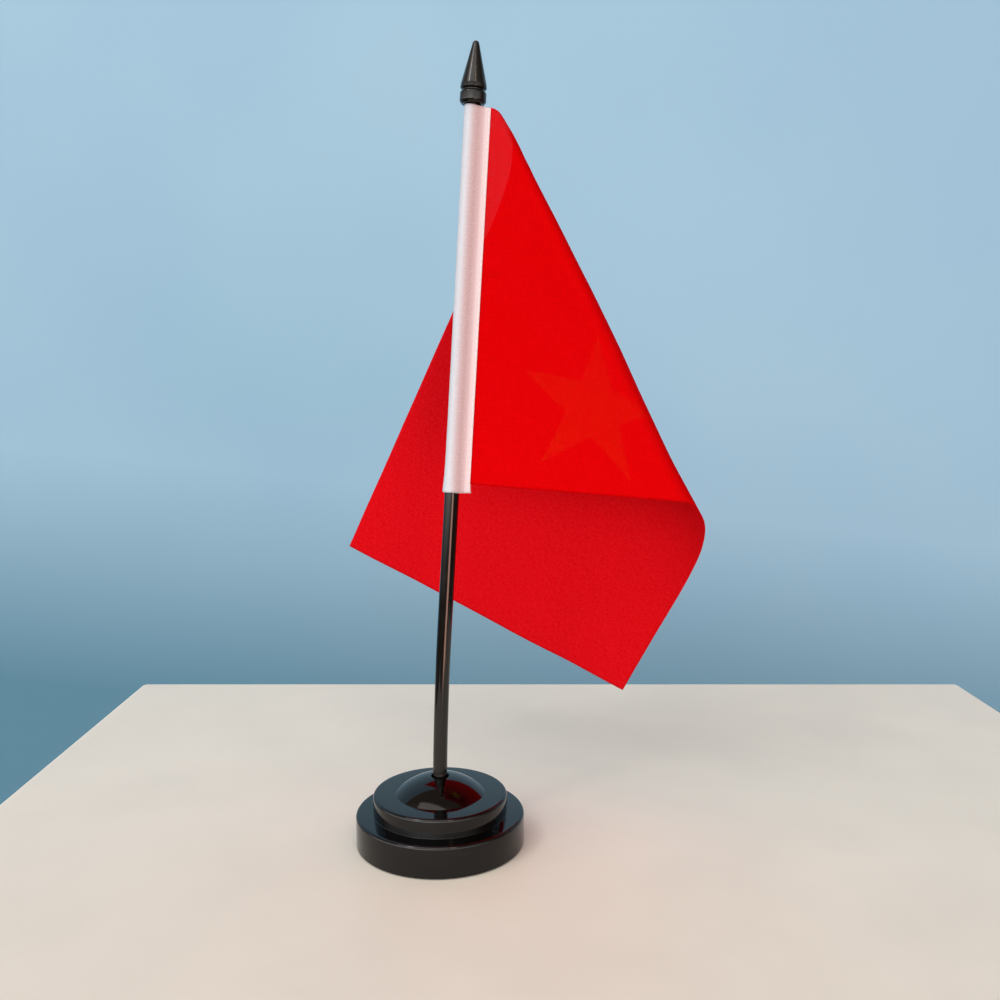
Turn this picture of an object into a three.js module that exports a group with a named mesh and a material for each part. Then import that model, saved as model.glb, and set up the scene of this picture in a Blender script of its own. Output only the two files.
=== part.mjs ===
// Desk flag stand, in millimetres, +Z up. The origin is the centre of the base's underside.
// A weighted two-tier base holds a slightly bent pole that leans to +X, with a push-on finial
// and a sewn flag, whose cloth is folded back behind the pole.
import * as THREE from 'three';

// Base, turned about Z
const BASE_RADIUS = 32.4;
const LEDGE_HEIGHT = 12.3;
const TIER_RADIUS = 25.8;
const TIER_HEIGHT = 19.5;
const DOME_FOOT_RADIUS = 17.2;
const DOME_RIM_HEIGHT = 26.0;
const EDGE_ROUNDING = 1.2;
const SHELL_WALL = 2.0;
const SHELL_LIFT = 0.4;        // the shell's rim above the table
const SOCKET_RADIUS = 3.4;
const SOCKET_FLOOR = 12.0;
const SOCKET_LEAD_IN = 0.4;
const PAD_THICKNESS = 1.2;
const FIT_GAP = 0.3;           // between pieces that touch on the real object

// Pole. Its straight upper part leans, and its lower part curves down into the loose socket.
const POLE_RADIUS = 2.75;
const POLE_LEAN = THREE.MathUtils.degToRad(3.36);
const LEAN_PIVOT_HEIGHT = 48.3;   // where the upper part's axis crosses the base's axis
const POLE_CHAMFER = 0.4;

// Heights along the pole's upper axis, from the lean pivot
const POLE_FOOT = -35.9;
const CURVE_FOOT = -22.3;
const CURVE_TOP = 36.8;
const CURVE_RADIUS = 1370.0;
const SLEEVE_FOOT = 87.8;
const SLEEVE_LENGTH = 139.2;
const SLEEVE_TOP = SLEEVE_FOOT + SLEEVE_LENGTH;

// Finial
const FINIAL_HEIGHT = 22.0;
const FINIAL_RADIUS = 4.75;
const FINIAL_TIP_RADIUS = 1.25;
const FINIAL_BEAD_RADIUS = 4.75;
const FINIAL_FOOT_RADIUS = 4.4;
const FINIAL_NECK_RADIUS = 4.2;
const FINIAL_NECK_HEIGHT = 4.95;
const FINIAL_BORE_DEPTH = 10.0;

// Flag sleeve: a pocket round the pole and a flat fin with a slot for the cloth's edge
const POCKET_RADIUS = POLE_RADIUS + FIT_GAP;
const SLEEVE_WALL = 0.4;
const FIN_REACH = 7.15;       // from the pole's axis to the fin's edge
const FIN_START = 5.0;
const FIN_SLOT_START = 5.5;

// Flag cloth: a flat panel folded about rulings that fan out from a point above its top corner
const CLOTH_WIDTH = 206.0;     // from the hoist edge to the fly edge
const CLOTH_HEIGHT = 135.0;
const CLOTH_DROP = 0.5;        // the cloth's top edge below the sleeve's top
const CLOTH_THICKNESS = 0.5;
const CLOTH_OFFSET = 6.0;      // hoist edge from the pole's axis
const FLAG_SWING = THREE.MathUtils.degToRad(-14.3);
const FOLD_ANGLE = THREE.MathUtils.degToRad(28.73);   // the fold line from the hoist edge
const FAN_DISTANCE = 140.0;    // the fan's point above the corner, along the fold line
const FOLD_MIDDLE = 100.0;     // the fold's radii are stated this far below the corner
const FOLD_START = 0.2;
const CREASE = { radius: 5.0, turn: THREE.MathUtils.degToRad(84.5), steps: 9 };
const ROLL = { radius: 35.2, turn: THREE.MathUtils.degToRad(93.7), steps: 12 };

// Seam
const THREAD_WIDTH = 0.5;
const THREAD_DEPTH = 0.3;
const THREAD_REACH = 6.5;
const THREAD_MARGIN = 2.0;

const ROUND_SEGMENTS = 48;
const POLE_SEGMENTS = 32;

function standard(color, roughness, metalness = 0) {
  return new THREE.MeshStandardMaterial({ color, roughness, metalness });
}

function named(name, geometry, material) {
  const mesh = new THREE.Mesh(geometry, material);
  mesh.name = name;
  return mesh;
}

// Profile points [radius, height] turned about Z, in an order that climbs the outside
function turned(profile, segments) {
  const points = profile.map(([radius, height]) => new THREE.Vector2(radius, height));
  return new THREE.LatheGeometry(points, segments).rotateX(Math.PI / 2);
}

// Points of an arc from one angle to another, both in degrees
function arc(radius, height, size, from, to, steps) {
  const points = [];
  for (let i = 0; i <= steps; i += 1) {
    const angle = THREE.MathUtils.degToRad(from + ((to - from) * i) / steps);
    points.push([radius + size * Math.cos(angle), height + size * Math.sin(angle)]);
  }
  return points;
}

function extruded(shape, depth, curveSegments) {
  return new THREE.ExtrudeGeometry(shape, { depth, bevelEnabled: false, curveSegments });
}

// The dome is part of a sphere that passes through the socket's rim and the dome's foot
const DOME_TOP_RADIUS = SOCKET_RADIUS + SOCKET_LEAD_IN;
const DOME_CENTRE = (DOME_FOOT_RADIUS ** 2 + TIER_HEIGHT ** 2 - DOME_TOP_RADIUS ** 2
  - DOME_RIM_HEIGHT ** 2) / (2 * (TIER_HEIGHT - DOME_RIM_HEIGHT));
const DOME_SPHERE_RADIUS = Math.hypot(DOME_FOOT_RADIUS, TIER_HEIGHT - DOME_CENTRE);

// Arc of a sphere about the dome's centre, from one radius out to another
function domeArc(sphereRadius, fromRadius, toRadius, steps) {
  const angle = (radius) => THREE.MathUtils.radToDeg(Math.acos(radius / sphereRadius));
  return arc(0, DOME_CENTRE, sphereRadius, angle(fromRadius), angle(toRadius), steps);
}

function baseShell() {
  const bossRadius = SOCKET_RADIUS + SHELL_WALL;
  const innerSphere = DOME_SPHERE_RADIUS - SHELL_WALL;
  const roof = TIER_HEIGHT - SHELL_WALL;
  const innerDomeFoot = Math.sqrt(innerSphere ** 2 - (roof - DOME_CENTRE) ** 2);
  const profile = [
    [0, SOCKET_FLOOR],
    [SOCKET_RADIUS, SOCKET_FLOOR],
    [SOCKET_RADIUS, DOME_RIM_HEIGHT - SOCKET_LEAD_IN],
    ...domeArc(DOME_SPHERE_RADIUS, DOME_TOP_RADIUS, DOME_FOOT_RADIUS, 8),
    ...arc(TIER_RADIUS - EDGE_ROUNDING, TIER_HEIGHT - EDGE_ROUNDING, EDGE_ROUNDING, 90, 0, 3),
    [TIER_RADIUS, LEDGE_HEIGHT],
    ...arc(BASE_RADIUS - EDGE_ROUNDING, LEDGE_HEIGHT - EDGE_ROUNDING, EDGE_ROUNDING, 90, 0, 3),
    [BASE_RADIUS, SHELL_LIFT],
    [BASE_RADIUS - SHELL_WALL, SHELL_LIFT],
    [BASE_RADIUS - SHELL_WALL, LEDGE_HEIGHT - SHELL_WALL],
    [TIER_RADIUS - SHELL_WALL, LEDGE_HEIGHT - SHELL_WALL],
    [TIER_RADIUS - SHELL_WALL, roof],
    ...domeArc(innerSphere, innerDomeFoot, bossRadius, 5),
    [bossRadius, SOCKET_FLOOR - SHELL_WALL],
    [0, SOCKET_FLOOR - SHELL_WALL],
  ];
  return turned(profile.reverse(), ROUND_SEGMENTS);
}

function baseWeight() {
  const bore = SOCKET_RADIUS + SHELL_WALL + FIT_GAP;
  const foot = PAD_THICKNESS + FIT_GAP;
  const wide = BASE_RADIUS - SHELL_WALL - FIT_GAP;
  const narrow = TIER_RADIUS - SHELL_WALL - FIT_GAP;
  const step = LEDGE_HEIGHT - SHELL_WALL - FIT_GAP;
  const top = TIER_HEIGHT - SHELL_WALL - FIT_GAP;
  const profile = [
    [bore, foot],
    [wide, foot],
    [wide, step],
    [narrow, step],
    [narrow, top],
    [bore, top],
    [bore, foot],
  ];
  return turned(profile, ROUND_SEGMENTS);
}

function basePad() {
  const radius = BASE_RADIUS - SHELL_WALL - FIT_GAP;
  const profile = [[0, 0], [radius, 0], [radius, PAD_THICKNESS], [0, PAD_THICKNESS]];
  return turned(profile, ROUND_SEGMENTS);
}

// The pole's centre beside its upper axis, and the tilt of its lower end back to that axis
function poleCurve(height) {
  const bent = THREE.MathUtils.clamp(CURVE_TOP - height, 0, CURVE_TOP - CURVE_FOOT);
  const slope = bent / CURVE_RADIUS;
  const straight = Math.max(CURVE_FOOT - height, 0);
  return { offset: slope * (bent / 2 + straight), tilt: Math.atan(slope) };
}

function pole() {
  const top = SLEEVE_TOP + FINIAL_BORE_DEPTH;
  const curveSteps = 6;
  const profile = [
    [0, POLE_FOOT],
    [POLE_RADIUS - POLE_CHAMFER, POLE_FOOT],
    [POLE_RADIUS, POLE_FOOT + POLE_CHAMFER],
  ];
  for (let i = 0; i <= curveSteps; i += 1) {
    profile.push([POLE_RADIUS, THREE.MathUtils.lerp(CURVE_FOOT, CURVE_TOP, i / curveSteps)]);
  }
  profile.push(
    [POLE_RADIUS, top - POLE_CHAMFER],
    [POLE_RADIUS - POLE_CHAMFER, top],
    [0, top],
  );
  const geometry = turned(profile, POLE_SEGMENTS);
  const place = geometry.getAttribute('position');
  for (let i = 0; i < place.count; i += 1) {
    const x = place.getX(i);
    const { offset, tilt } = poleCurve(place.getZ(i));
    place.setX(i, offset + x * Math.cos(tilt));
    place.setZ(i, place.getZ(i) + x * Math.sin(tilt));
  }
  geometry.computeVertexNormals();
  return geometry;
}

// The finial stands on the sleeve's top: a bead, a neck and a tall cone with a round tip
function finial() {
  const foot = SLEEVE_TOP + FIT_GAP;
  const neck = foot + FINIAL_NECK_HEIGHT;
  const coneFoot = neck + 1.1;
  const tipCentre = foot + FINIAL_HEIGHT - FINIAL_TIP_RADIUS;
  const boreRadius = POLE_RADIUS + FIT_GAP;
  const profile = [
    [0, foot + FINIAL_BORE_DEPTH],
    [boreRadius, foot + FINIAL_BORE_DEPTH],
    [boreRadius, foot],
    [FINIAL_FOOT_RADIUS, foot],
    [FINIAL_BEAD_RADIUS - 0.05, foot + 0.6],
    [FINIAL_BEAD_RADIUS, foot + 1.4],
    [FINIAL_BEAD_RADIUS, foot + 3.4],
    [FINIAL_BEAD_RADIUS - 0.15, foot + 4.3],
    [FINIAL_NECK_RADIUS, neck - 0.15],
    [FINIAL_NECK_RADIUS, neck + 0.15],
    [FINIAL_RADIUS - 0.1, coneFoot - 0.5],
    [FINIAL_RADIUS, coneFoot],
    [FINIAL_RADIUS - 0.2, coneFoot + 1.0],
    ...arc(0, tipCentre, FINIAL_TIP_RADIUS, 12, 90, 5),
  ];
  return turned(profile, POLE_SEGMENTS);
}

// The sleeve's section lies in XY, with the fin along +X and open at its edge for the cloth
function flagSleeve() {
  const outer = POCKET_RADIUS + SLEEVE_WALL;
  const slot = CLOTH_THICKNESS / 2 + FIT_GAP;
  const lip = slot + SLEEVE_WALL;
  const section = new THREE.Shape();
  section.moveTo(FIN_REACH, -slot);
  section.lineTo(FIN_SLOT_START, -slot);
  section.lineTo(FIN_SLOT_START, slot);
  section.lineTo(FIN_REACH, slot);
  section.lineTo(FIN_REACH, lip);
  section.lineTo(FIN_START, lip);
  section.bezierCurveTo(3.4, 1.4, 2.3, outer, 0, outer);
  section.absarc(0, 0, outer, Math.PI / 2, -Math.PI / 2, false);
  section.bezierCurveTo(2.3, -outer, 3.4, -1.4, FIN_START, -lip);
  section.lineTo(FIN_REACH, -lip);
  const pocket = new THREE.Path();
  pocket.moveTo(0, POCKET_RADIUS);
  pocket.absarc(0, 0, POCKET_RADIUS, Math.PI / 2, -Math.PI / 2, false);
  pocket.bezierCurveTo(2.1, -POCKET_RADIUS, 3.1, -0.9, 4.4, 0);
  pocket.bezierCurveTo(3.1, 0.9, 2.1, POCKET_RADIUS, 0, POCKET_RADIUS);
  section.holes.push(pocket);
  return extruded(section, SLEEVE_LENGTH, 8).translate(0, 0, SLEEVE_FOOT);
}

// Angles of the cloth's rulings from the hoist edge, with the turn of the fold at each one.
// The corners of the cloth each lie on a ruling.
function clothRulings() {
  const across = FAN_DISTANCE * Math.sin(FOLD_ANGLE);
  const down = FAN_DISTANCE * Math.cos(FOLD_ANGLE) + CLOTH_DROP;
  const middle = FAN_DISTANCE + FOLD_MIDDLE;
  const creaseStart = FOLD_ANGLE + FOLD_START / middle;
  const creaseEnd = creaseStart + (CREASE.radius * CREASE.turn) / middle;
  const rollEnd = creaseEnd + (ROLL.radius * ROLL.turn) / middle;
  const stretches = [
    { to: Math.atan2(across, down), steps: 6, radius: Infinity },
    { to: creaseStart, steps: 1, radius: Infinity },
    { to: creaseEnd, steps: CREASE.steps, radius: CREASE.radius },
    { to: rollEnd, steps: ROLL.steps, radius: ROLL.radius },
    { to: Math.atan2(across + CLOTH_WIDTH, down + CLOTH_HEIGHT), steps: 2, radius: Infinity },
    { to: Math.atan2(across + CLOTH_WIDTH, down), steps: 8, radius: Infinity },
  ];
  const rulings = [{ angle: Math.atan2(across, down + CLOTH_HEIGHT), bend: 0 }];
  for (const { to, steps, radius } of stretches) {
    const from = rulings.at(-1).angle;
    for (let i = 1; i <= steps; i += 1) {
      rulings.push({ angle: from + ((to - from) * i) / steps, bend: middle / radius });
    }
  }
  return { rulings, across, down };
}

// Turns the moving frame of ruling, crossing and normal along the cloth by a small angle
function stepAlong(frame, angle, bend) {
  const axis = frame.normal.clone().addScaledVector(frame.ruling, bend).negate();
  const turn = angle * axis.length();
  axis.normalize();
  for (const vector of Object.values(frame)) vector.applyAxisAngle(axis, turn);
}

// Rows of points on the cloth's middle surface, one row for each ruling, with its normal.
// The panel lies in XZ beside the sleeve, and the fold carries it round to +Y.
function clothRows(pointsInRow) {
  const { rulings, across, down } = clothRulings();
  const frame = {
    ruling: new THREE.Vector3(Math.sin(FOLD_ANGLE), 0, -Math.cos(FOLD_ANGLE)),
    crossing: new THREE.Vector3(Math.cos(FOLD_ANGLE), 0, Math.sin(FOLD_ANGLE)),
    normal: new THREE.Vector3(0, 1, 0),
  };
  const corner = new THREE.Vector3(CLOTH_OFFSET, 0, SLEEVE_TOP);
  const fanPoint = corner.addScaledVector(frame.ruling, -FAN_DISTANCE);
  let reached = FOLD_ANGLE;
  stepAlong(frame, rulings[0].angle - reached, 0);
  reached = rulings[0].angle;
  return rulings.map(({ angle, bend }, row) => {
    stepAlong(frame, angle - reached, bend);
    reached = angle;
    const near = Math.max(across / Math.sin(angle), down / Math.cos(angle));
    const far = Math.min(
      (across + CLOTH_WIDTH) / Math.sin(angle),
      (down + CLOTH_HEIGHT) / Math.cos(angle),
    );
    const isCorner = row === 0 || row === rulings.length - 1;
    const count = isCorner ? 1 : pointsInRow;
    const points = [];
    for (let i = 0; i < count; i += 1) {
      const distance = near + ((far - near) * i) / Math.max(count - 1, 1);
      points.push(fanPoint.clone().addScaledVector(frame.ruling, distance));
    }
    return { points, normal: frame.normal.clone() };
  });
}

// A closed solid of even thickness round the cloth's rows. Its first and last rows are points.
function flagCloth() {
  const pointsInRow = 7;
  const rows = clothRows(pointsInRow);
  const positions = [];
  const starts = [];
  for (const side of [-0.5, 0.5]) {
    for (const { points, normal } of rows) {
      starts.push(positions.length / 3);
      for (const point of points) {
        const moved = point.clone().addScaledVector(normal, side * CLOTH_THICKNESS);
        positions.push(moved.x, moved.y, moved.z);
      }
    }
  }
  const index = [];
  const vertex = (side, row, i) => {
    const last = rows[row].points.length - 1;
    return starts[side * rows.length + row] + Math.min(i, last);
  };
  const triangle = (a, b, c) => {
    if (a !== b && b !== c && c !== a) index.push(a, b, c);
  };
  const quad = (a, b, c, d) => {
    triangle(a, b, c);
    triangle(a, c, d);
  };
  for (let row = 0; row + 1 < rows.length; row += 1) {
    for (let i = 0; i + 1 < pointsInRow; i += 1) {
      const face = (side) => [
        vertex(side, row, i), vertex(side, row + 1, i),
        vertex(side, row + 1, i + 1), vertex(side, row, i + 1),
      ];
      quad(...face(0).reverse());
      quad(...face(1));
    }
    const end = pointsInRow - 1;
    quad(vertex(0, row, 0), vertex(0, row + 1, 0), vertex(1, row + 1, 0), vertex(1, row, 0));
    quad(vertex(1, row, end), vertex(1, row + 1, end), vertex(0, row + 1, end), vertex(0, row, end));
  }
  const geometry = new THREE.BufferGeometry();
  geometry.setAttribute('position', new THREE.Float32BufferAttribute(positions, 3));
  geometry.setIndex(index);
  geometry.computeVertexNormals();
  return geometry;
}

function seamThread() {
  const length = CLOTH_HEIGHT - 2 * THREAD_MARGIN;
  const lip = CLOTH_THICKNESS / 2 + FIT_GAP + SLEEVE_WALL;
  const strip = new THREE.BoxGeometry(THREAD_WIDTH, THREAD_DEPTH, length);
  const middle = SLEEVE_TOP - CLOTH_DROP - CLOTH_HEIGHT / 2;
  return strip.translate(THREAD_REACH, -lip - FIT_GAP - THREAD_DEPTH / 2, middle);
}

const base = new THREE.Group();
base.add(
  named('base_shell', baseShell(), standard(0x0c0d10, 0.12)),
  named('base_weight', baseWeight(), standard(0x55565a, 0.7, 1)),
  named('base_pad', basePad(), standard(0x1b1b1d, 0.95)),
);

const flag = new THREE.Group();
flag.rotation.z = FLAG_SWING;
flag.add(
  named('flag_sleeve', flagSleeve(), standard(0xeae6ea, 0.85)),
  named('flag_cloth', flagCloth(), standard(0xd00818, 0.7)),
  named('seam_thread', seamThread(), standard(0xf4e4e6, 0.8)),
);

const staff = new THREE.Group();
staff.position.z = LEAN_PIVOT_HEIGHT;
staff.rotation.y = POLE_LEAN;
staff.add(
  named('pole', pole(), standard(0x101012, 0.25)),
  named('finial', finial(), standard(0x0e0e10, 0.3)),
  flag,
);

const stand = new THREE.Group();
stand.add(base, staff);
export default stand;
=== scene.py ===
"""Looks of a table flag: a leaning black pole in a round two-tier base, with a folded cloth flag.

Shapes are stated in millimetres in the part's own frames (base, staff, flag) and placed in metres.
"""

import math

import bmesh
import bpy
import numpy as np
from mathutils import Matrix, Vector, noise


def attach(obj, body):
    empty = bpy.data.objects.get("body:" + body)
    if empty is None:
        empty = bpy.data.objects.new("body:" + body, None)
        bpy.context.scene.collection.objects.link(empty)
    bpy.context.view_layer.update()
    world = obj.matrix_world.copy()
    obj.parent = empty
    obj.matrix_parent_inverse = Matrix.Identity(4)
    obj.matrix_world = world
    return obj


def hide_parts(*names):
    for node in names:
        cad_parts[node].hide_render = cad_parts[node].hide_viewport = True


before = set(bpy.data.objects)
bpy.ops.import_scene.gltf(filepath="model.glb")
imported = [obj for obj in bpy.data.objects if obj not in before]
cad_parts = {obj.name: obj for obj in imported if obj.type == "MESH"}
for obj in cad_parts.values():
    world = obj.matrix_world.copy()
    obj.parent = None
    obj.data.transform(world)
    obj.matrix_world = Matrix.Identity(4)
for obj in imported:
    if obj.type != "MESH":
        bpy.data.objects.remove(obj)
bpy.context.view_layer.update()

# ---------------------------------------------------------------------------------------------
# Sizes, in millimetres and radians
# ---------------------------------------------------------------------------------------------
MM = 0.001

BASE_RADIUS = 32.4
BASE_LIFT = 0.4                 # the moulding's rim above the table
LEDGE_HEIGHT = 12.3             # top of the lower tier
TIER_RADIUS = 25.8
TIER_HEIGHT = 19.5
DOME_FOOT_RADIUS = 17.2
DOME_RIM_HEIGHT = 26.0
EDGE_ROUNDING = 1.2
LEDGE_FILLET = 0.12             # where the upper tier's side meets the ledge
RIM_ROUNDING = 0.3
INSIDE_ROUNDING = 0.5
MOULDING_WALL = 2.0
SOCKET_RADIUS = 3.4
SOCKET_FLOOR = 12.0
SOCKET_ROUNDING = 0.4
PAD_THICKNESS = 1.2
PAD_RADIUS = BASE_RADIUS - MOULDING_WALL - 0.3

LEAN_PIVOT_HEIGHT = 48.3        # where the pole's upper axis crosses the base's axis
POLE_LEAN = math.radians(3.36)
POLE_RADIUS = 2.75
POLE_FOOT = -35.9               # along the staff, from the pivot
POLE_TOP = 237.0
POLE_CHAMFER = 0.4
POLE_RINGS = 90
CURVE_FOOT, CURVE_TOP = -22.3, 36.8     # ends of its bent part, along the staff
CURVE_RADIUS = 1370.0           # of the bent part

SLEEVE_FOOT = 87.8
SLEEVE_LENGTH = 139.2
SLEEVE_TOP = SLEEVE_FOOT + SLEEVE_LENGTH
SLEEVE_WALL = 0.2
SLEEVE_RADIUS = 2.93            # middle of the tape, round the pole
SLEEVE_ROWS = 140
SLEEVE_FLARE = 0.6              # how far the sleeve opens at its foot
TAPE_WIDTH = 24.2               # the sleeve's tape, laid flat
FIN_START = 5.4                 # where the fin's two sides meet, from the pole's axis
SEAM_REACH = 6.4                # the stitches, from the pole's axis
FIN_REACH = 6.95                # the fin's edge, from the pole's axis
FIN_HALF = 0.27                 # middle of the tape from the fin's middle, at the stitches
FIN_PUFF = 0.16                 # and how much more than that beside them
TOP_SLANT = 0.9                 # drop of the sleeve's top edge from the pole to the fin's edge

FINIAL_FOOT = SLEEVE_TOP + 0.3
FINIAL_HEIGHT = 22.0
FINIAL_TIP_RADIUS = 1.25
FINIAL_BORE_RADIUS = 3.0
FINIAL_BORE_DEPTH = 10.0

FLAG_SWING = math.radians(-14.3)
CLOTH_WIDTH = 206.0
CLOTH_HEIGHT = 135.0
CLOTH_DROP = 0.8                # the cloth's top edge below the sleeve's top
CLOTH_THICKNESS = 0.2
CLOTH_OFFSET = 6.0              # hoist edge from the pole's axis
CLOTH_GRID = 1.25               # spacing of the cloth's grid
FOLD_ANGLE = math.radians(28.73)
FAN_DISTANCE = 140.0            # the fan's point above the corner, along the fold line
FOLD_MIDDLE = 100.0             # how far from the corner the next sizes are taken
FOLD_START = 0.2                # from the fold line to the crease
CREASE_RADIUS, CREASE_TURN = 5.0, math.radians(84.5)
ROLL_RADIUS, ROLL_TURN = 35.2, math.radians(93.7)
STAR_RADIUS = 32.8
STAR_ALONG = 100.5              # star's centre from the hoist edge
STAR_DOWN = CLOTH_HEIGHT / 2 + 1.5

STITCH_LENGTH, STITCH_PITCH, STITCH_RADIUS = 1.75, 2.3, 0.13

# Frames of the parts: millimetres to the object's metres
BASE = Matrix.Scale(MM, 4)
STAFF = (Matrix.Translation((0, 0, LEAN_PIVOT_HEIGHT * MM))
         @ Matrix.Rotation(POLE_LEAN, 4, "Y") @ Matrix.Scale(MM, 4))
FLAG = STAFF @ Matrix.Rotation(FLAG_SWING, 4, "Z")


# ---------------------------------------------------------------------------------------------
# Mesh helpers
# ---------------------------------------------------------------------------------------------
def new_piece(name, vertices, faces, place, uvs=None):
    """A smooth-shaded mesh object. uvs holds one pair for each vertex."""
    mesh = bpy.data.meshes.new(name)
    mesh.from_pydata([tuple(v) for v in vertices], [], faces)
    if uvs is not None:
        layer = mesh.uv_layers.new(name="flat")
        corners = np.empty(len(mesh.loops), dtype=np.int32)
        mesh.loops.foreach_get("vertex_index", corners)
        layer.data.foreach_set("uv", np.asarray(uvs, dtype=np.float32)[corners].ravel())
    mesh.transform(place)
    mesh.update()
    mesh.polygons.foreach_set("use_smooth", [True] * len(mesh.polygons))
    piece = bpy.data.objects.new(name, mesh)
    bpy.context.scene.collection.objects.link(piece)
    return piece


def turned(name, profile, segments, place, sharp=30.0, moved=None):
    """A solid of revolution about Z. A profile point on the axis becomes one vertex.

    Edges above sharp, in degrees, stay sharp. moved takes each vertex in millimetres to its
    place on a bent axis.
    """
    vertices, rings = [], []
    for radius, height in profile:
        if radius == 0:
            rings.append([len(vertices)] * segments)
            vertices.append((0, 0, height))
            continue
        rings.append(list(range(len(vertices), len(vertices) + segments)))
        for i in range(segments):
            angle = 2 * math.pi * i / segments
            vertices.append((radius * math.cos(angle), radius * math.sin(angle), height))
    faces = []
    for low, high in zip(rings, rings[1:]):
        for i in range(segments):
            j = (i + 1) % segments
            face = list(dict.fromkeys((low[i], low[j], high[j], high[i])))
            if len(face) > 2:
                faces.append(face)
    if moved is not None:
        vertices = [moved(*vertex) for vertex in vertices]
    piece = new_piece(name, vertices, faces, place)
    tidy_normals(piece, sharp)
    return piece


def tidy_normals(piece, sharp):
    """Turns every face outwards and marks the edges sharper than this many degrees."""
    work = bmesh.new()
    work.from_mesh(piece.data)
    bmesh.ops.recalc_face_normals(work, faces=work.faces)
    work.to_mesh(piece.data)
    work.free()
    piece.data.set_sharp_from_angle(angle=math.radians(sharp))


def rounded(corners, steps):
    """A profile through (radius, height, rounding) corners, each with its own rounding."""
    path = []
    for i, (x, y, size) in enumerate(corners):
        here = Vector((x, y))
        if size <= 0 or i in (0, len(corners) - 1):
            path.append((x, y))
            continue
        before = (Vector(corners[i - 1][:2]) - here).normalized()
        after = (Vector(corners[i + 1][:2]) - here).normalized()
        half = before.angle(after) / 2
        reach = size / math.tan(half)
        centre = here + (before + after).normalized() * size / math.sin(half)
        start, end = here + before * reach - centre, here + after * reach - centre
        turn = start.angle_signed(end)
        for k in range(steps + 1):
            arm = start.copy()
            arm.rotate(Matrix.Rotation(-turn * k / steps, 2))
            path.append(tuple(centre + arm))
    return path


def arc(centre, size, start, end, steps):
    """Points on an arc in the profile's plane, between two angles in degrees."""
    return [(centre[0] + size * math.cos(math.radians(angle)),
             centre[1] + size * math.sin(math.radians(angle)))
            for angle in np.linspace(start, end, steps + 1)]


def finish_piece(piece, body, slot, node, *materials):
    """Gives a piece its body and its materials, and hides the CAD node it stands for. slot is not
    used.
    """
    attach(piece, body)
    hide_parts(node)
    for material in materials:
        piece.data.materials.append(material)


# ---------------------------------------------------------------------------------------------
# Material helpers
# ---------------------------------------------------------------------------------------------
class Graph:
    """A material's node tree, built from short calls.

    It starts from a plain colour and roughness, which the nodes made later take the place of.
    """

    def __init__(self, name, colour, roughness, **sockets):
        self.material = bpy.data.materials.new(name)
        self.material.use_nodes = True
        self.tree = self.material.node_tree
        self.shader = self.tree.nodes["Principled BSDF"]
        self.output = self.tree.nodes["Material Output"]
        self.shader.inputs["Base Color"].default_value = (*colour, 1)
        self.shader.inputs["Roughness"].default_value = roughness
        for key, value in sockets.items():
            self.shader.inputs[key.replace("_", " ")].default_value = value

    def add(self, kind, inputs=None, **settings):
        made = self.tree.nodes.new("ShaderNode" + kind)
        for key, value in settings.items():
            setattr(made, key, value)
        for key, value in (inputs or {}).items():
            self.feed(made.inputs[key], value)
        return made

    def feed(self, socket, value):
        if isinstance(value, bpy.types.Node):
            value = value.outputs[0]
        if isinstance(value, bpy.types.NodeSocket):
            self.tree.links.new(value, socket)
        else:
            socket.default_value = value

    def set(self, name, value):
        self.feed(self.shader.inputs[name], value)

    def math(self, operation, *values):
        made = self.add("Math", operation=operation)
        for i, value in enumerate(values):
            self.feed(made.inputs[i], value)
        return made.outputs[0]

    def place(self, scale=(1, 1, 1), turn=(0, 0, 0), source="Object"):
        """Texture coordinates in millimetres along the piece, scaled and turned."""
        where = self.add("TexCoord").outputs[source]
        by = 1 / MM if source == "Object" else 1
        turned_to = self.add("Mapping", {"Vector": where, "Rotation": turn}, vector_type="TEXTURE")
        return self.add("Mapping", {"Vector": turned_to, "Scale": [s * by for s in scale]})

    def noise(self, vector, scale, detail=2.0, roughness=0.5):
        return self.add("TexNoise", {"Vector": vector, "Scale": scale, "Detail": detail,
                                     "Roughness": roughness}).outputs[0]

    def ramp(self, value, low, high, to_low=0.0, to_high=1.0):
        """A value moved from the range low..high to the range to_low..to_high."""
        made = self.add("MapRange", {"Value": value, "From Min": low, "From Max": high,
                                     "To Min": to_low, "To Max": to_high})
        return made.outputs[0]

    def mix(self, factor, first, second, blend="MIX"):
        made = self.add("Mix", data_type="RGBA", blend_type=blend)
        self.feed(made.inputs[0], factor)
        for socket, colour in ((made.inputs[6], first), (made.inputs[7], second)):
            self.feed(socket, (*colour, 1) if isinstance(colour, tuple) else colour)
        return made.outputs[2]

    def bump(self, height, distance, onto=None):
        """A normal for this height, whose full range is a distance in millimetres."""
        made = self.add("Bump", {"Height": height, "Distance": distance * MM})
        if onto is not None:
            self.feed(made.inputs["Normal"], onto)
        return made.outputs[0]

    def worn_edges(self):
        """How far a point is on an outer edge, from 0 to 1."""
        return self.ramp(self.add("NewGeometry").outputs["Pointiness"], 0.52, 0.60)


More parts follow.
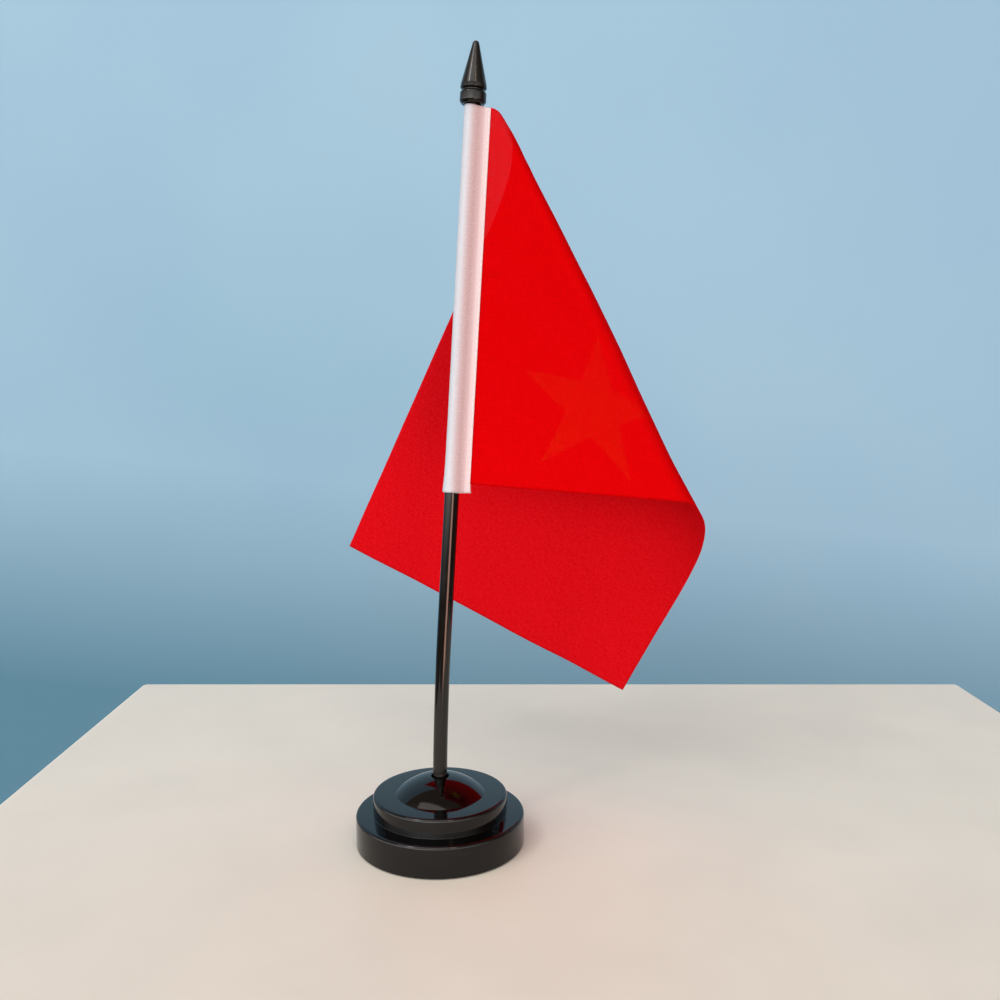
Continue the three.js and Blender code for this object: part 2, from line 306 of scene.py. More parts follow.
# ---------------------------------------------------------------------------------------------
# Materials
# ---------------------------------------------------------------------------------------------
def gloss_plastic():
    """Glossy black moulded plastic with handling haze, fine scratches and specks of dust."""
    g = Graph("base_plastic", (0.003, 0.003, 0.0035), 0.06, IOR=1.42)
    here = g.place()
    haze = g.noise(here, 0.09, 4.0, 0.6)
    scratches = g.ramp(g.noise(g.place((1, 0.06, 1), (0, 0, 0.6)), 2.2, 3.0), 0.60, 0.72)
    crossing = g.ramp(g.noise(g.place((0.06, 1, 1), (0, 0, -0.4)), 1.9, 3.0), 0.61, 0.73)
    scuffs = g.math("MAXIMUM", scratches, crossing)
    specks = g.add("TexVoronoi", {"Vector": here, "Scale": 0.42})
    dust = g.ramp(specks.outputs["Distance"], 0.045, 0.02)
    wear = g.math("MULTIPLY", g.worn_edges(), g.ramp(g.noise(here, 0.8, 3.0), 0.4, 0.7))
    colour = g.mix(g.ramp(haze, 0.3, 0.7), (0.0005, 0.0006, 0.0008), (0.0013, 0.0013, 0.0016))
    colour = g.mix(g.math("MULTIPLY", wear, 0.5), colour, (0.0045, 0.0045, 0.0045))
    colour = g.mix(g.math("MULTIPLY", dust, 0.55), colour, (0.30, 0.29, 0.27))
    g.set("Base Color", colour)
    rough = g.ramp(haze, 0.3, 0.75, 0.045, 0.10)
    rough = g.math("ADD", rough, g.math("MULTIPLY", scuffs, 0.05))
    rough = g.math("ADD", rough, g.math("MULTIPLY", dust, 0.5))
    g.set("Roughness", rough)
    g.set("Normal", g.bump(g.noise(here, 0.05, 1.0), 0.10, onto=g.bump(scuffs, 0.0015)))
    return g.material


def pole_plastic():
    """Black extruded plastic: fine draw lines along the pole and a satin gloss."""
    g = Graph("pole_plastic", (0.003, 0.0028, 0.0027), 0.12, IOR=1.5)
    lines = g.noise(g.place((1, 1, 0.012), (0, POLE_LEAN, 0)), 3.2, 3.0, 0.6)
    blotches = g.noise(g.place(), 0.12, 3.0)
    colour = g.mix(g.ramp(blotches, 0.3, 0.7), (0.0012, 0.0011, 0.0010), (0.0030, 0.0025, 0.0022))
    colour = g.mix(g.math("MULTIPLY", g.worn_edges(), 0.5), colour, (0.010, 0.009, 0.008))
    g.set("Base Color", colour)
    g.set("Roughness", g.math("ADD", g.ramp(lines, 0.3, 0.7, 0.08, 0.14),
                              g.ramp(blotches, 0.4, 0.7, 0.0, 0.04)))
    g.set("Normal", g.bump(lines, 0.010))
    return g.material


def finial_plastic():
    """Satin black moulded plastic with a fine mould grain and dulled edges."""
    g = Graph("finial_plastic", (0.003, 0.0028, 0.0028), 0.11, IOR=1.46, Specular_IOR_Level=0.42)
    here = g.place()
    grain = g.noise(here, 4.5, 2.0)
    blotches = g.noise(here, 0.35, 3.0)
    colour = g.mix(g.ramp(blotches, 0.3, 0.7), (0.0012, 0.0012, 0.0012), (0.0030, 0.0026, 0.0024))
    colour = g.mix(g.math("MULTIPLY", g.worn_edges(), 0.4), colour, (0.010, 0.009, 0.008))
    g.set("Base Color", colour)
    g.set("Roughness", g.ramp(blotches, 0.3, 0.7, 0.08, 0.14))
    g.set("Normal", g.bump(grain, 0.006, onto=g.bump(blotches, 0.05)))
    return g.material


def cast_iron():
    """Sand-cast iron: a pebbled grey skin with rust in its hollows."""
    g = Graph("weight_iron", (0.10, 0.10, 0.105), 0.6, Metallic=1.0)
    here = g.place()
    pebbles = g.noise(here, 1.4, 5.0, 0.65)
    rust = g.ramp(g.noise(here, 0.16, 4.0, 0.6), 0.52, 0.66)
    colour = g.mix(g.ramp(pebbles, 0.3, 0.7), (0.065, 0.065, 0.07), (0.20, 0.20, 0.205))
    colour = g.mix(g.math("MULTIPLY", rust, 0.7), colour, (0.16, 0.065, 0.03))
    g.set("Base Color", colour)
    g.set("Metallic", g.ramp(rust, 0.0, 1.0, 1.0, 0.25))
    g.set("Roughness", g.ramp(pebbles, 0.3, 0.7, 0.75, 0.5))
    g.set("Normal", g.bump(pebbles, 0.25))
    return g.material


def pad_foam():
    """Dark closed-cell foam with open pores on its cut faces."""
    g = Graph("pad_foam", (0.02, 0.02, 0.022), 0.9, Specular_IOR_Level=0.25)
    here = g.place()
    cells = g.add("TexVoronoi", {"Vector": here, "Scale": 1.7}).outputs["Distance"]
    pores = g.ramp(cells, 0.12, 0.42)
    mottle = g.noise(here, 0.25, 3.0)
    # Darker in the pores' hollows: painted shade.
    colour = g.mix(pores, (0.008, 0.008, 0.009), (0.030, 0.030, 0.033))
    g.set("Base Color", g.mix(g.ramp(mottle, 0.3, 0.7), colour, (0.040, 0.040, 0.042), "LIGHTEN"))
    g.set("Roughness", g.ramp(mottle, 0.3, 0.7, 0.82, 0.98))
    g.set("Normal", g.bump(pores, 0.20))
    return g.material


def weave_height(g, threads):
    """A plain weave from the flat coordinates in millimetres, with this many threads to 1 mm."""
    flat = g.add("SeparateXYZ", {"Vector": g.add("TexCoord").outputs["UV"]})
    across = g.math("SINE", g.math("MULTIPLY", flat.outputs[0], math.pi * threads))
    along = g.math("SINE", g.math("MULTIPLY", flat.outputs[1], math.pi * threads))
    over = g.math("MULTIPLY", across, along)
    return g.ramp(over, -1.0, 1.0)


def slubs(g, scale=1.0):
    """Uneven threads: long light and dark streaks along the warp and along the weft."""
    warp = g.noise(g.place((2.2 * scale, 0.16 * scale, 1), source="UV"), 1.0, 3.0, 0.6)
    weft = g.noise(g.place((0.16 * scale, 2.2 * scale, 1), source="UV"), 1.0, 3.0, 0.6)
    return g.math("MULTIPLY", g.math("ADD", warp, weft), 0.5)


def star_mask(g):
    """1 inside the printed star and 0 outside, from the flat coordinates in millimetres."""
    flat = g.add("SeparateXYZ", {"Vector": g.add("TexCoord").outputs["UV"]})
    across = g.math("SUBTRACT", flat.outputs[0], STAR_ALONG)
    up = g.math("ADD", flat.outputs[1], STAR_DOWN)
    radius = g.math("SQRT", g.math("ADD", g.math("MULTIPLY", across, across),
                                   g.math("MULTIPLY", up, up)))
    half_point = math.pi / 5
    angle = g.math("PINGPONG", g.math("ARCTAN2", across, up), half_point)
    inner = STAR_RADIUS * math.cos(2 * half_point) / math.cos(half_point)
    tip = Vector((STAR_RADIUS, 0))
    notch = Vector((inner * math.cos(half_point), inner * math.sin(half_point)))
    edge = (notch - tip).normalized()
    out = Vector((edge.y, -edge.x))
    along = g.math("MULTIPLY", radius, g.math("COSINE", angle))
    beside = g.math("MULTIPLY", radius, g.math("SINE", angle))
    reach = g.math("ADD", g.math("MULTIPLY", along, out.x), g.math("MULTIPLY", beside, out.y))
    limit, softness = out.dot(tip), 0.12
    return g.ramp(reach, limit + softness, limit - softness)


def let_light_through(g, share, colour, normal):
    """The surface in this colour, with a share of it glowing with the light behind it."""
    g.set("Base Color", colour)
    g.set("Normal", normal)
    through = g.add("BsdfTranslucent", {"Color": colour, "Normal": normal})
    return g.add("MixShader", {0: share, 1: g.shader, 2: through})


def flag_cloth(name, clearness, paleness):
    """Thin printed polyester that light shines through.

    clearness is how much passes its gaps, and paleness how far its threads show white.
    """
    g = Graph(name, (0.69, 0.001, 0.003), 0.75, Specular_IOR_Level=0.0)
    star = star_mask(g)
    uneven = slubs(g)
    weave = weave_height(g, 2.6)
    flecks = g.noise(g.place((0.7, 1.5, 1), (0, 0, 0.5), "UV"), 1.0, 4.0, 0.7)
    blotches = g.noise(g.place(source="UV"), 0.05, 3.0)
    red = g.mix(g.ramp(uneven, 0.40, 0.62), (0.66, 0.0008, 0.0022), (0.73, 0.0020, 0.0045))
    red = g.mix(g.ramp(blotches, 0.35, 0.65, 0.0, 0.5), red, (0.69, 0.0010, 0.0020))
    red = g.mix(g.ramp(flecks, 0.36, 0.70, 0.0, paleness), red, (0.86, 0.075, 0.14))
    gold = g.mix(g.ramp(uneven, 0.40, 0.62), (0.93, 0.72, 0.010), (0.97, 0.80, 0.03))
    colour = g.mix(star, red, gold)
    # Darker in the weave's hollows: painted shade.
    colour = g.mix(g.ramp(weave, 0.0, 1.0, 0.08, 0.0), colour, (0.40, 0.0004, 0.001))
    g.set("Roughness", g.ramp(uneven, 0.4, 0.62, 0.68, 0.85))
    cloth = let_light_through(g, 0.40, colour, g.bump(weave, 0.02, onto=g.bump(uneven, 0.10)))
    if clearness:
        gaps = g.add("BsdfTransparent", {"Color": (1, 1, 1, 1)})
        share = g.math("MULTIPLY", g.ramp(flecks, 0.36, 0.66, 0.65, 1.4), clearness)
        cloth = g.add("MixShader", {0: share, 1: cloth, 2: gaps})
    g.feed(g.output.inputs["Surface"], cloth)
    return g.material


def sleeve_cloth():
    """White polyester tape with a fine weave. Its pink tint is partly the red cloth showing through
    where it lies inside the fin, and partly painted light bounced from the red cloth.

    inward is the distance in millimetres from the tape's nearer edge, which is the fin's edge:
    a painted highlight on a pale band outside the stitches, and painted shade where the fin leaves
    the pole.
    """
    g = Graph("sleeve_cloth", (0.61, 0.61, 0.66), 0.6, Specular_IOR_Level=0.2)
    flat = g.add("SeparateXYZ", {"Vector": g.add("TexCoord").outputs["UV"]})
    inward = g.math("PINGPONG", flat.outputs[0], TAPE_WIDTH / 2)
    # Painted highlight: a pale band on the fin outside the stitches, which also takes some of the
    # pink away.
    painted_strip_highlight = g.math("ADD", g.ramp(inward, 4.8, 2.6, 0.0, 0.25), g.ramp(inward, 2.5, 1.9, 0.0, 0.75))
    # Painted light bounced from the red cloth: a pink tint from where the fin leaves the pole out
    # to the fin's edge, where the cloth lying inside also shows through.
    rise = g.add("MapRange", {"Value": inward, "From Min": 8.4, "From Max": 4.4},
                 interpolation_type="SMOOTHSTEP")
    painted_red_bounce = g.math("SUBTRACT", rise, g.math("MULTIPLY", painted_strip_highlight, 0.32))
    # Painted shade where the fin leaves the pole, darkening the tape there.
    painted_valley_shade = g.math("MULTIPLY", g.ramp(inward, 8.0, 4.8), g.ramp(inward, 2.4, 4.3))
    weave = weave_height(g, 3.0)
    uneven = slubs(g, 1.3)
    colour = g.mix(g.ramp(uneven, 0.38, 0.62), (0.57, 0.61, 0.675), (0.63, 0.67, 0.74))
    colour = g.mix(g.math("MULTIPLY", painted_strip_highlight, 0.6), colour, (0.86, 0.86, 0.88))
    colour = g.mix(g.math("MULTIPLY", painted_red_bounce, 0.45), colour, (0.64, 0.23, 0.225))
    colour = g.mix(g.math("MULTIPLY", painted_valley_shade, 0.5), colour, (0.40, 0.26, 0.25))
    # Darker in the weave's hollows: painted shade.
    colour = g.mix(g.ramp(weave, 0.0, 1.0, 0.05, 0.0), colour, (0.50, 0.47, 0.50))
    flecks = g.noise(g.place((1.6, 1.6, 1), source="UV"), 1.0, 3.0, 0.6)
    colour = g.mix(g.ramp(flecks, 0.48, 0.72, 0.0, 0.3), colour, (0.80, 0.77, 0.79))
    g.set("Roughness", g.ramp(uneven, 0.4, 0.62, 0.5, 0.7))
    normal = g.bump(weave, 0.015, onto=g.bump(uneven, 0.06))
    g.feed(g.output.inputs["Surface"], let_light_through(g, 0.25, colour, normal))
    return g.material


def seam_thread():
    """White spun thread."""
    g = Graph("seam_thread", (0.76, 0.62, 0.64), 0.6, Specular_IOR_Level=0.2, Sheen_Weight=0.1)
    twist = g.noise(g.place((6, 6, 1.2), (0, POLE_LEAN, 0)), 1.0, 2.0)
    g.set("Base Color", g.mix(g.ramp(twist, 0.35, 0.65), (0.76, 0.64, 0.65), (0.88, 0.77, 0.78)))
    g.set("Roughness", g.ramp(twist, 0.3, 0.7, 0.5, 0.75))
    g.set("Normal", g.bump(twist, 0.03))
    return g.material


# ---------------------------------------------------------------------------------------------
# Base
# ---------------------------------------------------------------------------------------------
def dome_sphere():
    """Height of the dome's centre on the axis, and its radius."""
    rim = SOCKET_RADIUS + SOCKET_ROUNDING
    low, high = TIER_HEIGHT, DOME_RIM_HEIGHT
    centre = (DOME_FOOT_RADIUS**2 + low**2 - rim**2 - high**2) / (2 * (low - high))
    return centre, math.hypot(DOME_FOOT_RADIUS, low - centre)


def make_base():
    centre, size = dome_sphere()
    rim = SOCKET_RADIUS + SOCKET_ROUNDING
    steepest = math.degrees(math.asin((DOME_RIM_HEIGHT - centre) / size))
    lowest = math.degrees(math.asin((TIER_HEIGHT - centre) / size))
    dome = arc((0, centre), size, steepest, lowest, 26)
    lead_in = arc((rim, DOME_RIM_HEIGHT - SOCKET_ROUNDING), SOCKET_ROUNDING, 180, 90, 6)
    inside, tier_inside = BASE_RADIUS - MOULDING_WALL, TIER_RADIUS - MOULDING_WALL
    ledge_underside, tier_underside = LEDGE_HEIGHT - MOULDING_WALL, TIER_HEIGHT - MOULDING_WALL
    sides = rounded([
        (DOME_FOOT_RADIUS, TIER_HEIGHT, 0),
        (TIER_RADIUS, TIER_HEIGHT, EDGE_ROUNDING),
        (TIER_RADIUS, LEDGE_HEIGHT, LEDGE_FILLET),
        (BASE_RADIUS, LEDGE_HEIGHT, EDGE_ROUNDING),
        (BASE_RADIUS, BASE_LIFT, RIM_ROUNDING),
        (inside, BASE_LIFT, RIM_ROUNDING),
        (inside, ledge_underside, INSIDE_ROUNDING),
        (tier_inside, ledge_underside, RIM_ROUNDING),
        (tier_inside, tier_underside, INSIDE_ROUNDING),
        (DOME_FOOT_RADIUS - 1.3, tier_underside, 0),
    ], 8)
    inner = size - MOULDING_WALL
    boss, boss_foot = SOCKET_RADIUS + MOULDING_WALL, SOCKET_FLOOR - MOULDING_WALL
    under_dome = [(radius, math.sqrt(inner**2 - radius**2) + centre)
                  for radius in np.linspace(DOME_FOOT_RADIUS - 1.9, boss, 8)]
    socket_foot = arc((SOCKET_RADIUS - INSIDE_ROUNDING, SOCKET_FLOOR + INSIDE_ROUNDING),
                      INSIDE_ROUNDING, -90, 0, 4)
    profile = ([(0, SOCKET_FLOOR)] + socket_foot + lead_in + dome[1:] + sides[1:]
               + under_dome + [(boss, boss_foot), (0, boss_foot)])
    piece = turned("base_moulding", profile, 192, BASE, sharp=40.0)
    finish_piece(piece, "base", "base_plastic", "base_shell", gloss_plastic())


def make_pad():
    rounding = 0.25
    corners = [(0, 0, 0), (PAD_RADIUS, 0, rounding), (PAD_RADIUS, PAD_THICKNESS, rounding),
               (0, PAD_THICKNESS, 0)]
    piece = turned("foam_pad", rounded(corners, 4), 160, BASE, sharp=50.0)
    finish_piece(piece, "base", "pad_foam", "base_pad", pad_foam())


# ---------------------------------------------------------------------------------------------
# Pole and finial
# ---------------------------------------------------------------------------------------------
def on_pole(x, y, height):
    """A point beside the straight upper axis, moved to the same place beside the bent pole."""
    bent = min(max(CURVE_TOP - height, 0), CURVE_TOP - CURVE_FOOT)
    slope = bent / CURVE_RADIUS
    tilt = math.atan(slope)
    offset = slope * (bent / 2 + max(CURVE_FOOT - height, 0))
    return offset + x * math.cos(tilt), y, height + x * math.sin(tilt)


def make_pole():
    end, inward = 1.0, POLE_RADIUS - POLE_CHAMFER
    profile = [(0, POLE_FOOT)]
    profile += arc((inward, POLE_FOOT + POLE_CHAMFER), POLE_CHAMFER, -90, 0, 4)
    profile += [(POLE_RADIUS, height)
                for height in np.linspace(POLE_FOOT + end, POLE_TOP - end, POLE_RINGS)]
    profile += arc((inward, POLE_TOP - POLE_CHAMFER), POLE_CHAMFER, 0, 90, 4)
    profile += [(0, POLE_TOP)]
    piece = turned("pole_rod", profile, 72, STAFF, moved=on_pole)
    finish_piece(piece, "pole", "pole_plastic", "pole", pole_plastic())


def make_finial():
    """A collar, a groove, a bead and a long cone with a round tip, over a blind bore."""
    foot, tip = FINIAL_FOOT, FINIAL_FOOT + FINIAL_HEIGHT
    bore_end, tip_centre = foot + FINIAL_BORE_DEPTH, tip - FINIAL_TIP_RADIUS
    bore = [(0, bore_end, 0), (FINIAL_BORE_RADIUS, bore_end, 0.2), (FINIAL_BORE_RADIUS, foot, 0.25)]
    collar = [(4.0, foot, 0.15), (4.78, foot + 0.9, 1.0), (4.76, foot + 4.15, 0.95)]
    groove = [(3.95, foot + 4.6, 0.16), (3.95, foot + 4.95, 0.16)]
    bead = [(4.78, foot + 5.5, 0.5), (4.64, foot + 6.9, 1.4)]
    corners = bore + collar + groove + bead + [(FINIAL_TIP_RADIUS, tip_centre, 0)]
    round_tip = arc((0, tip_centre), FINIAL_TIP_RADIUS, 12, 90, 10)
    profile = rounded(corners, 7)[:-1] + round_tip[:-1] + [(0, tip)]
    piece = turned("spear_finial", profile, 96, STAFF, sharp=50.0)
    finish_piece(piece, "finial", "finial_plastic", "finial", finial_plastic())


# ---------------------------------------------------------------------------------------------
# Flag: sleeve, cloth and stitches. X runs along the fin, Y to the back and Z up the pole
# ---------------------------------------------------------------------------------------------
def fin_gap(reach):
    """Distance of the tape's middle from the fin's middle: pressed in along the stitches."""
    press = math.exp(-((reach - SEAM_REACH) / 0.28) ** 2)
    return FIN_HALF + FIN_PUFF * (1 - press)


def sleeve_section(spread=0.0):
    """Middle line of the tape, from the fin's edge round the pole and back, as (x, y) points."""
    radius = SLEEVE_RADIUS + spread
    fin = [(x, fin_gap(x)) for x in np.linspace(FIN_REACH, FIN_START, 15)]
    join = Vector(fin[-1])
    reach, lift = join.length, math.atan2(join.y, join.x)
    touch = lift + math.acos(radius / reach)
    bend = [(radius * math.cos(a), radius * math.sin(a)) for a in np.linspace(touch, math.pi, 26)]
    slope = [tuple(join.lerp(Vector(bend[0]), t)) for t in np.linspace(0, 1, 9)[1:-1]]
    half = fin + slope + bend
    return smoothed(half + [(x, -y) for x, y in reversed(half[:-1])], 6)


def smoothed(points, passes):
    """The same open line with its corners eased, its ends kept."""
    line = np.array(points)
    for _ in range(passes):
        line[1:-1] = (line[:-2] + 2 * line[1:-1] + line[2:]) / 4
    return line


def fading(distance, length):
    """1 at an edge, falling away from it over this length."""
    return math.exp(-distance / length)


def make_sleeve():
    line = sleeve_section()
    steps = np.linalg.norm(np.diff(line, axis=0), axis=1)
    along = np.concatenate([[0], np.cumsum(steps)])
    vertices, uvs = [], []
    for j in range(SLEEVE_ROWS + 1):
        t = j / SLEEVE_ROWS
        from_foot, from_top = SLEEVE_LENGTH * t, SLEEVE_LENGTH * (1 - t)
        height = SLEEVE_FOOT + from_foot
        flare = SLEEVE_FLARE * fading(from_foot, 6.0)
        for k, (x, y) in enumerate(sleeve_section(flare)):
            wave = noise.noise(Vector((x * 0.25, y * 0.25, height * 0.05)))
            crumple = noise.noise(Vector((x * 0.5 + 7, y * 0.5, height * 0.2)))
            push = 1 + 0.022 * wave + 0.012 * crumple
            slant = TOP_SLANT * max(0.0, x + 1.0) / FIN_REACH * fading(from_top, 6.0)
            curl = 0.10 * math.sin(x * 1.1 + 0.6) * fading(from_foot, 2.5)
            nub = 0.22 * max(0.0, x - FIN_START) * fading(from_foot, 1.2)
            vertices.append((x * (1 + 0.004 * wave) + nub, y * push, height - slant + curl))
            uvs.append((along[k], from_foot))
    piece = new_piece("hoist_sleeve", vertices, grid_faces(len(line), SLEEVE_ROWS), FLAG, uvs)
    thicken(piece, SLEEVE_WALL)
    finish_piece(piece, "flag", "sleeve_cloth", "flag_sleeve", sleeve_cloth())


def grid_faces(count, rows):
    """Four-sided faces between rows of count points."""
    return [(j * count + k, j * count + k + 1, (j + 1) * count + k + 1, (j + 1) * count + k)
            for j in range(rows) for k in range(count - 1)]


def thicken(piece, thickness):
    """Gives a sheet its thickness, half to each side, and applies it."""
    solid = piece.modifiers.new("thickness", "SOLIDIFY")
    solid.thickness = thickness * MM
    solid.offset = 0.0
    solid.use_even_offset = True
    bpy.context.view_layer.update()
    dg = bpy.context.evaluated_depsgraph_get()
    made = bpy.data.meshes.new_from_object(piece.evaluated_get(dg), depsgraph=dg)
    piece.modifiers.clear()
    piece.data = made


class Fold:
    """The folded cloth: a sheet bent along rulings that fan out from one point."""

    def __init__(self):
        self.across = FAN_DISTANCE * math.sin(FOLD_ANGLE)
        self.down = FAN_DISTANCE * math.cos(FOLD_ANGLE) + CLOTH_DROP
        middle = FAN_DISTANCE + FOLD_MIDDLE
        crease = FOLD_ANGLE + FOLD_START / middle
        roll = crease + CREASE_RADIUS * CREASE_TURN / middle
        end = roll + ROLL_RADIUS * ROLL_TURN / middle
        self.bends = [(crease, roll, middle / CREASE_RADIUS), (roll, end, middle / ROLL_RADIUS)]
        first = math.atan2(self.across, self.down + CLOTH_HEIGHT)
        last = math.atan2(self.across + CLOTH_WIDTH, self.down)
        self.angles = np.linspace(first, last, 1600)
        self.rulings, self.normals = self.swept()
        fold = Vector((math.sin(FOLD_ANGLE), 0, -math.cos(FOLD_ANGLE)))
        self.point = Vector((CLOTH_OFFSET, 0, SLEEVE_TOP)) - fold * FAN_DISTANCE

    def bend_at(self, angle):
        for start, end, bend in self.bends:
            if start <= angle < end:
                return bend
        return 0.0

    def swept(self):
        """The ruling and the sheet's normal at every angle, from the flat front panel on."""
        first = self.angles[0]
        ruling = Vector((math.sin(first), 0, -math.cos(first)))
        normal = Vector((0, 1, 0))
        rulings, normals = [ruling.copy()], [normal.copy()]
        for before, after in zip(self.angles, self.angles[1:]):
            axis = -(normal + self.bend_at((before + after) / 2) * ruling)
            turn = Matrix.Rotation((after - before) * axis.length, 3, axis.normalized())
            ruling, normal = turn @ ruling, turn @ normal
            rulings.append(ruling.copy())
            normals.append(normal.copy())
        return np.array(rulings), np.array(normals)

    def at(self, u, v):
        """Place and normal of the point u from the hoist edge and v below the top edge."""
        angle = np.arctan2(u + self.across, v + self.down)
        distance = np.hypot(u + self.across, v + self.down)
        pick = [np.array([np.interp(angle, self.angles, table[:, i]) for i in range(3)])
                for table in (self.rulings, self.normals)]
        return np.array(self.point)[:, None] + pick[0] * distance, pick[1]


def cloth_waves(u, v):
    """Small waves off the fold's smooth shape: long hanging waves, and puckers beside the seam."""
    slow = noise.noise(Vector((u * 0.018, v * 0.026, 3.1)))
    medium = noise.noise(Vector((u * 0.05, v * 0.045, 8.4))) * 0.30
    pucker = noise.noise(Vector((u * 0.10, v * 0.30, 1.7))) * 0.55 * fading(max(u - 2, 0), 9.0)
    free = max(u - 1.5, 0.0)        # how far past the stitches, which hold the cloth still
    return (slow + medium) * min(1.0, free / 8.0) + pucker * min(1.0, free / 2.5)


def eased(value, low, high):
    """0 below low, 1 above high and a smooth rise between them."""
    t = np.clip((value - low) / (high - low), 0.0, 1.0)
    return t * t * (3 - 2 * t)


def corner_sag(u, v):
    """How far the cloth's top edge droops beside the sleeve, where the fold starts."""
    deepest = 1.3
    return deepest * eased(u, 0.5, 6.0) * (1 - eased(u, 9.0, 24.0)) * np.exp(-v / 5.0)


def make_cloth():
    """The folded cloth. Its front panel is sheer, and what lies behind the crease is not."""
    fold = Fold()
    columns, rows = round(CLOTH_WIDTH / CLOTH_GRID), round(CLOTH_HEIGHT / CLOTH_GRID)
    u, v = np.meshgrid(np.linspace(0, CLOTH_WIDTH, columns + 1),
                       np.linspace(0, CLOTH_HEIGHT, rows + 1))
    u, v = u.ravel(), v.ravel()
    places, normals = fold.at(u, v)
    waves = np.array([cloth_waves(a, b) for a, b in zip(u, v)])
    vertices = (places + normals * waves).T
    vertices[:, 2] -= corner_sag(u, v)
    count = columns + 1
    faces = [(j * count + k, (j + 1) * count + k, (j + 1) * count + k + 1, j * count + k + 1)
             for j in range(rows) for k in range(columns)]
    piece = new_piece("flag_sheet", vertices, faces, FLAG, np.column_stack([u, -v]))
    piece.data.materials.append(flag_cloth("flag_cloth_front", 0.13, 0.0))
    piece.data.materials.append(flag_cloth("flag_cloth_back", 0.0, 0.16))
    crease_end = fold.bends[0][1]
    for face in piece.data.polygons:
        corners = list(face.vertices)
        middle_u, middle_v = u[corners].mean(), v[corners].mean()
        angle = math.atan2(middle_u + fold.across, middle_v + fold.down)
        face.material_index = int(angle > crease_end)
    thicken(piece, CLOTH_THICKNESS)
    finish_piece(piece, "flag", "flag_cloth", "flag_cloth")


def make_stitches():
    """Short rounded stitches on both faces of the fin, through the cloth's hoist edge."""
    top, foot = SLEEVE_TOP - 1.6, SLEEVE_TOP - CLOTH_DROP - CLOTH_HEIGHT + 0.6
    count = int((top - foot) / STITCH_PITCH)
    proud, sink, flatness, lag = 0.02, 0.10, 0.8, 0.25
    around, steps = 8, 8
    vertices, faces = [], []
    for side in (-1, 1):
        for i in range(count):
            middle = top - STITCH_PITCH * (i + 0.5 + (lag if side > 0 else 0.0))
            drift = 0.05 * noise.noise(Vector((i * 3.7, side, 0)))
            first = len(vertices)
            for s in range(steps + 1):
                t = s / steps * 2 - 1
                thick = STITCH_RADIUS * math.sqrt(max(0.0, 1 - abs(t) ** 3)) + 0.01
                depth = fin_gap(SEAM_REACH) + SLEEVE_WALL / 2 + proud - sink * t * t
                for a in range(around):
                    turn = 2 * math.pi * a / around
                    vertices.append((SEAM_REACH + drift * t + thick * math.cos(turn),
                                     side * (depth + flatness * thick * math.sin(turn)),
                                     middle + t * STITCH_LENGTH / 2))
            for s in range(steps):
                for a in range(around):
                    b = (a + 1) % around
                    low, high = first + s * around, first + (s + 1) * around
                    faces.append((low + a, low + b, high + b, high + a))
            faces.append(tuple(first + a for a in reversed(range(around))))
            faces.append(tuple(first + steps * around + a for a in range(around)))
    piece = new_piece("seam_stitches", vertices, faces, FLAG)
    tidy_normals(piece, 60.0)
    finish_piece(piece, "flag", "seam_thread", "seam_thread", seam_thread())


# ---------------------------------------------------------------------------------------------
# Camera, floor, backdrop and lights
# ---------------------------------------------------------------------------------------------
CAMERA_PLACE = (0.0231, -0.3691, 0.1746)
CAMERA_PITCH = math.radians(83.554)     # from straight down
LENS, SENSOR = 35.77, 36.0              # in millimetres, as the camera has them


def make_camera():
    data = bpy.data.cameras.new("camera")
    data.lens, data.sensor_width = LENS, SENSOR
    camera = bpy.data.objects.new("camera", data)
    camera.location = CAMERA_PLACE
    camera.rotation_euler = (CAMERA_PITCH, 0, 0)
    bpy.context.scene.collection.objects.link(camera)
    bpy.context.scene.camera = camera


def plain(name, colour, roughness, change):
    """A plain painted surface with a slight unevenness."""
    g = Graph(name, colour, roughness, Specular_IOR_Level=0.3)
    mottle = g.noise(g.place(), change, 3.0)
    darker = tuple(0.95 * c for c in colour)
    g.set("Base Color", g.mix(g.ramp(mottle, 0.3, 0.7), darker, colour))
    g.set("Roughness", g.ramp(mottle, 0.3, 0.7, roughness, roughness + 0.1))
    return g.material


def wall_paint():
    """Pale blue paint, with painted shade that darkens it towards the floor, more so on the left.
    """
    g = Graph("wall_paint", (0.33, 0.54, 0.69), 0.8, Specular_IOR_Level=0.1)
    place = g.add("SeparateXYZ", {"Vector": g.place()})
    height = g.math("ADD", place.outputs[2], g.math("MULTIPLY", place.outputs[0], 0.10))
    mottle = g.noise(g.place(), 0.003, 2.0)
    pale = g.mix(g.ramp(mottle, 0.35, 0.65), (0.220, 0.375, 0.508), (0.236, 0.397, 0.515))
    # Painted shade: from this height down, the wall darkens towards the floor, and more so on the
    # left.
    starts, ends = 70.0, -170.0
    g.set("Base Color", g.mix(g.ramp(height, starts, ends), pale, (0.075, 0.185, 0.265)))
    return g.material


